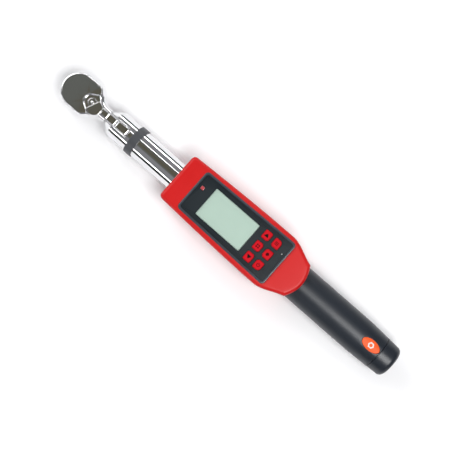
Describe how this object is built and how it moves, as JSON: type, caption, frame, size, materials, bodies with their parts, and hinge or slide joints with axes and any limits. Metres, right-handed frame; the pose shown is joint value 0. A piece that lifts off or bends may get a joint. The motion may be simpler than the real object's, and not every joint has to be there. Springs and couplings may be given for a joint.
{
  "type": "torque wrench",
  "caption": "Electronic torque wrench with a flexing, reversible ratchet head, a chromed beam tube, a display housing with press keys, and a round grip that holds its batteries.",
  "frame": {"origin": "centre of the tool's footprint, on the bench it lies on, display up", "axes": "+X from the ratchet head to the grip, +Z out of the display, +Y to the left of someone looking along +X with the display up"},
  "size_m": [0.39, 0.0542, 0.045],
  "materials": {
    "chrome": "polished chrome plate",
    "steel": "satin machined steel",
    "brass": "plated contact metal",
    "red_plastic": "smooth moulded red plastic, satin gloss",
    "red_rubber": "soft red key rubber",
    "red_lens": "tinted lens",
    "panel": "dark blue-black panel, fine grain",
    "lcd_glass": "clear window",
    "lcd": "pale green grey display",
    "band": "dark grey band",
    "grip": "fine grained black soft plastic",
    "badge": "domed orange badge",
    "board": "green circuit board",
    "chip": "black moulding",
    "white": "white plastic",
    "foil": "gauge foil",
    "battery": "printed cell jacket"
  },
  "bodies": {
    "frame": {"beam_tube": "chrome", "flex_pin": "steel", "flex_washer_left": "steel", "flex_washer_right": "steel", "ring_band": "band", "strain_beam": "steel", "strain_gauge_left": "foil", "strain_gauge_right": "foil", "beam_pin_front": "steel", "beam_pin_rear": "steel", "upper_housing": "red_plastic", "lower_housing": "red_plastic", "housing_screw_1": "steel", "housing_screw_2": "steel", "housing_screw_3": "steel", "housing_screw_4": "steel", "display_bezel": "panel", "lcd_window": "lcd_glass", "lcd_module": "lcd", "circuit_board": "board", "main_chip": "chip", "buzzer": "chip", "keypad_mat": "red_rubber", "led_window": "red_lens", "alarm_led": "white", "status_lamp": "white", "handle_tube": "steel", "grip_sleeve": "grip", "battery_sleeve": "white", "battery_front": "battery", "battery_rear": "battery", "contact_plate": "brass", "grip_badge": "badge"},
    "head": {"ratchet_head": "chrome", "head_cover": "steel", "cover_screw_1": "steel", "cover_screw_2": "steel", "pawl_ball": "steel", "pawl_spring": "steel"},
    "drive": {"drive_gear": "steel", "drive_clip": "steel", "drive_ball_spring": "steel"},
    "detent_ball": {"drive_ball": "steel"},
    "reverser": {"pawl": "steel", "reversing_lever": "chrome"},
    "cap": {"end_cap": "grip", "cap_o_ring": "chip", "contact_spring": "brass"},
    "key_up": {"button_up": "red_rubber"},
    "key_memory": {"button_memory": "red_rubber"},
    "key_mode": {"button_mode": "red_rubber"},
    "key_units": {"button_units": "red_rubber"},
    "key_down": {"button_down": "red_rubber"},
    "key_power": {"button_power": "red_rubber"}
  },
  "joints": [
    {"name": "head_flex", "type": "hinge", "parent": "frame", "child": "head", "pos_m": [-0.1248, 0, 0.021], "axis": [0, 1, 0], "range_deg": [-15, 15]},
    {"name": "drive_turn", "type": "hinge", "parent": "head", "child": "drive", "pos_m": [-0.1776, 0, 0.021], "axis": [0, 0, -1], "continuous": true},
    {"name": "ball_press", "type": "slide", "parent": "drive", "child": "detent_ball", "axis": [1, 0, 0], "range_m": [0, 0.0007], "stiffness_N_per_m": 800},
    {"name": "lever_reverse", "type": "hinge", "parent": "head", "child": "reverser", "pos_m": [-0.1614, 0, 0.021], "axis": [0, 0, 1], "range_deg": [0, 48]},
    {"name": "cap_off", "type": "slide", "parent": "frame", "child": "cap", "axis": [1, 0, 0], "range_m": [0, 0.03]},
    {"name": "press_up", "type": "slide", "parent": "frame", "child": "key_up", "axis": [0, 0, -1], "range_m": [0, 0.001], "stiffness_N_per_m": 1200},
    {"name": "press_memory", "type": "slide", "parent": "frame", "child": "key_memory", "axis": [0, 0, -1], "range_m": [0, 0.001], "stiffness_N_per_m": 1200},
    {"name": "press_mode", "type": "slide", "parent": "frame", "child": "key_mode", "axis": [0, 0, -1], "range_m": [0, 0.001], "stiffness_N_per_m": 1200},
    {"name": "press_units", "type": "slide", "parent": "frame", "child": "key_units", "axis": [0, 0, -1], "range_m": [0, 0.001], "stiffness_N_per_m": 1200},
    {"name": "press_down", "type": "slide", "parent": "frame", "child": "key_down", "axis": [0, 0, -1], "range_m": [0, 0.001], "stiffness_N_per_m": 1200},
    {"name": "press_power", "type": "slide", "parent": "frame", "child": "key_power", "axis": [0, 0, -1], "range_m": [0, 0.001], "stiffness_N_per_m": 1200}
  ]
}
